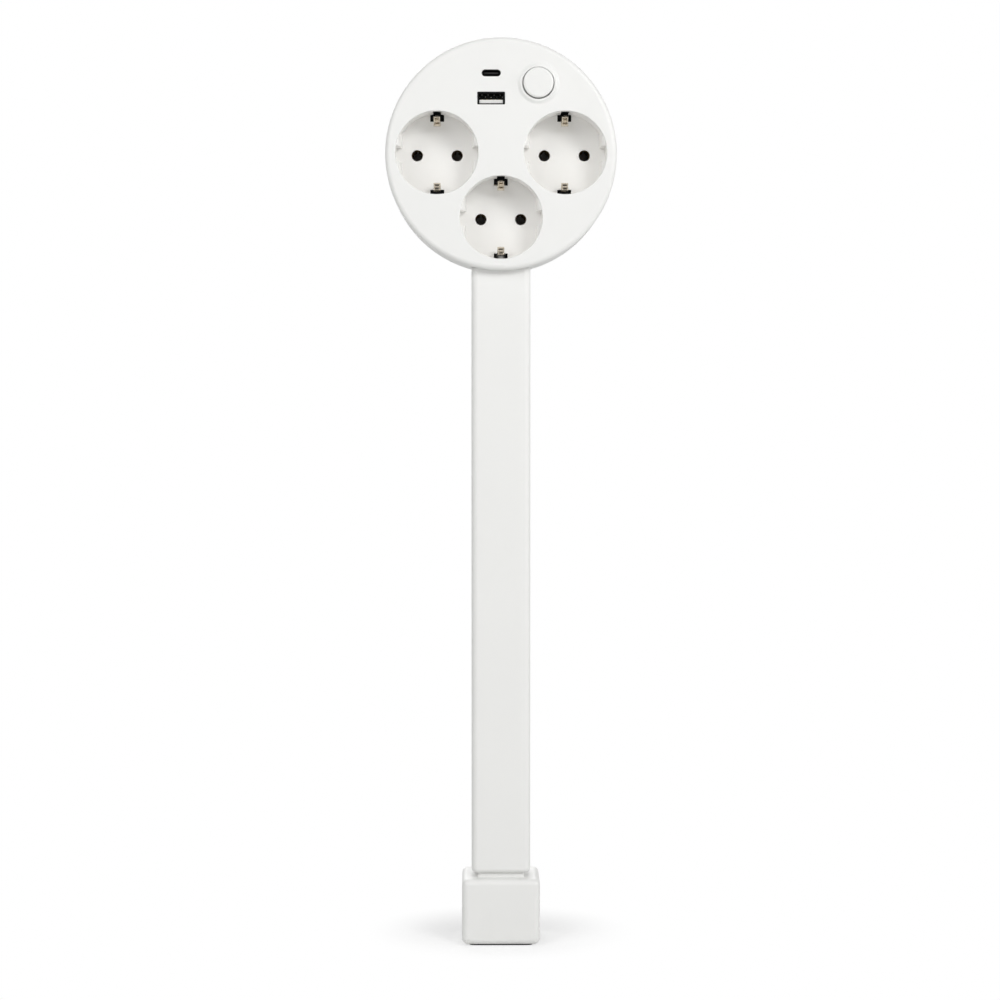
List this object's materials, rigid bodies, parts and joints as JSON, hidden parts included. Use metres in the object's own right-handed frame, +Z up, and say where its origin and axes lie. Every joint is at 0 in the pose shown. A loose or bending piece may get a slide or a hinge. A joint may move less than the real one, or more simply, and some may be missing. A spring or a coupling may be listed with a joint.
{
  "type": "smart power strip",
  "caption": "Socket column: a round head with earthed sockets, USB ports and a push button on a square sliding column and a block foot.",
  "frame": {"origin": "on the floor, under the middle of the part's bounding box", "axes": "+Z up the column, +X to the right as seen from the front, +Y to the back; the sockets face -Y"},
  "size_m": [0.109, 0.0426, 0.4306],
  "materials": {
    "white_shell": "fine-grained matte moulded plastic",
    "insert_white": "satin moulded plastic",
    "button_white": "satin moulded plastic",
    "tube_white": "white powder coat",
    "plain_acetal": "natural moulded acetal",
    "inner_moulding": "plain moulded plastic",
    "carrier_black": "black moulded plastic",
    "terminal_grey": "moulded polyamide",
    "port_metal": "black nickel plate",
    "tongue_white": "moulded plastic",
    "tongue_black": "moulded plastic",
    "contact_gold": "thin gold plate",
    "clip_nickel": "nickel plate",
    "bar_brass": "plain brass",
    "steel_zinc": "zinc plate",
    "spring_steel": "bright wire",
    "pad_rubber": "matte rubber",
    "gland_rubber": "matte rubber",
    "board_green": "glass-fibre board with solder mask",
    "relay_blue": "moulded case",
    "switch_black": "moulded case",
    "ferrite": "sintered ferrite",
    "winding_tape": "wound with tape",
    "capacitor_sleeve": "shrunk sleeve",
    "radio_can": "tinned shield",
    "flex_white": "soft flex sheath",
    "wire_brown": "wire insulation",
    "wire_blue": "wire insulation"
  },
  "bodies": {
    "foot": {"foot_shell": "white_shell", "foot_base_plate": "steel_zinc", "foot_screws": "steel_zinc", "foot_pad": "pad_rubber", "cable_gland": "gland_rubber", "inlet_terminal": "terminal_grey", "inner_tube": "tube_white", "upper_glide": "plain_acetal", "flex_lower": "flex_white", "flex_coil": "flex_white"},
    "column": {"outer_tube": "white_shell", "lower_guide": "plain_acetal", "column_anchor": "inner_moulding", "anchor_screws": "steel_zinc", "front_housing": "white_shell", "rear_cover": "white_shell", "cover_screws": "steel_zinc", "socket_insert_left": "insert_white", "socket_insert_right": "insert_white", "socket_insert_bottom": "insert_white", "earth_rail": "clip_nickel", "line_rail": "bar_brass", "neutral_rail": "bar_brass", "contact_carrier": "carrier_black", "carrier_screws": "steel_zinc", "terminal_block": "terminal_grey", "main_board": "board_green", "board_screws": "steel_zinc", "relay": "relay_blue", "transformer_core": "ferrite", "transformer_winding": "winding_tape", "bulk_capacitor": "capacitor_sleeve", "output_capacitor": "capacitor_sleeve", "radio_module": "radio_can", "usb_a_shell": "port_metal", "usb_a_tongue": "tongue_white", "usb_a_contacts": "contact_gold", "usb_c_shell": "port_metal", "usb_c_tongue": "tongue_black", "power_switch": "switch_black", "button_spring": "spring_steel", "flex_upper": "flex_white", "line_wire": "wire_brown", "switched_wire": "wire_brown", "neutral_wire": "wire_blue"},
    "button": {"button_cap": "button_white", "switch_plunger": "plain_acetal"}
  },
  "joints": [
    {"name": "column_slide", "type": "slide", "parent": "foot", "child": "column", "axis": [0, 0, 1], "range_m": [0, 0.1823], "deforming": ["flex_coil"]},
    {"name": "button_press", "type": "slide", "parent": "column", "child": "button", "axis": [0, 1, 0], "range_m": [0, 0.0018], "stiffness_N_per_m": 600, "springref_m": -0.002, "deforming": ["button_spring"]}
  ]
}
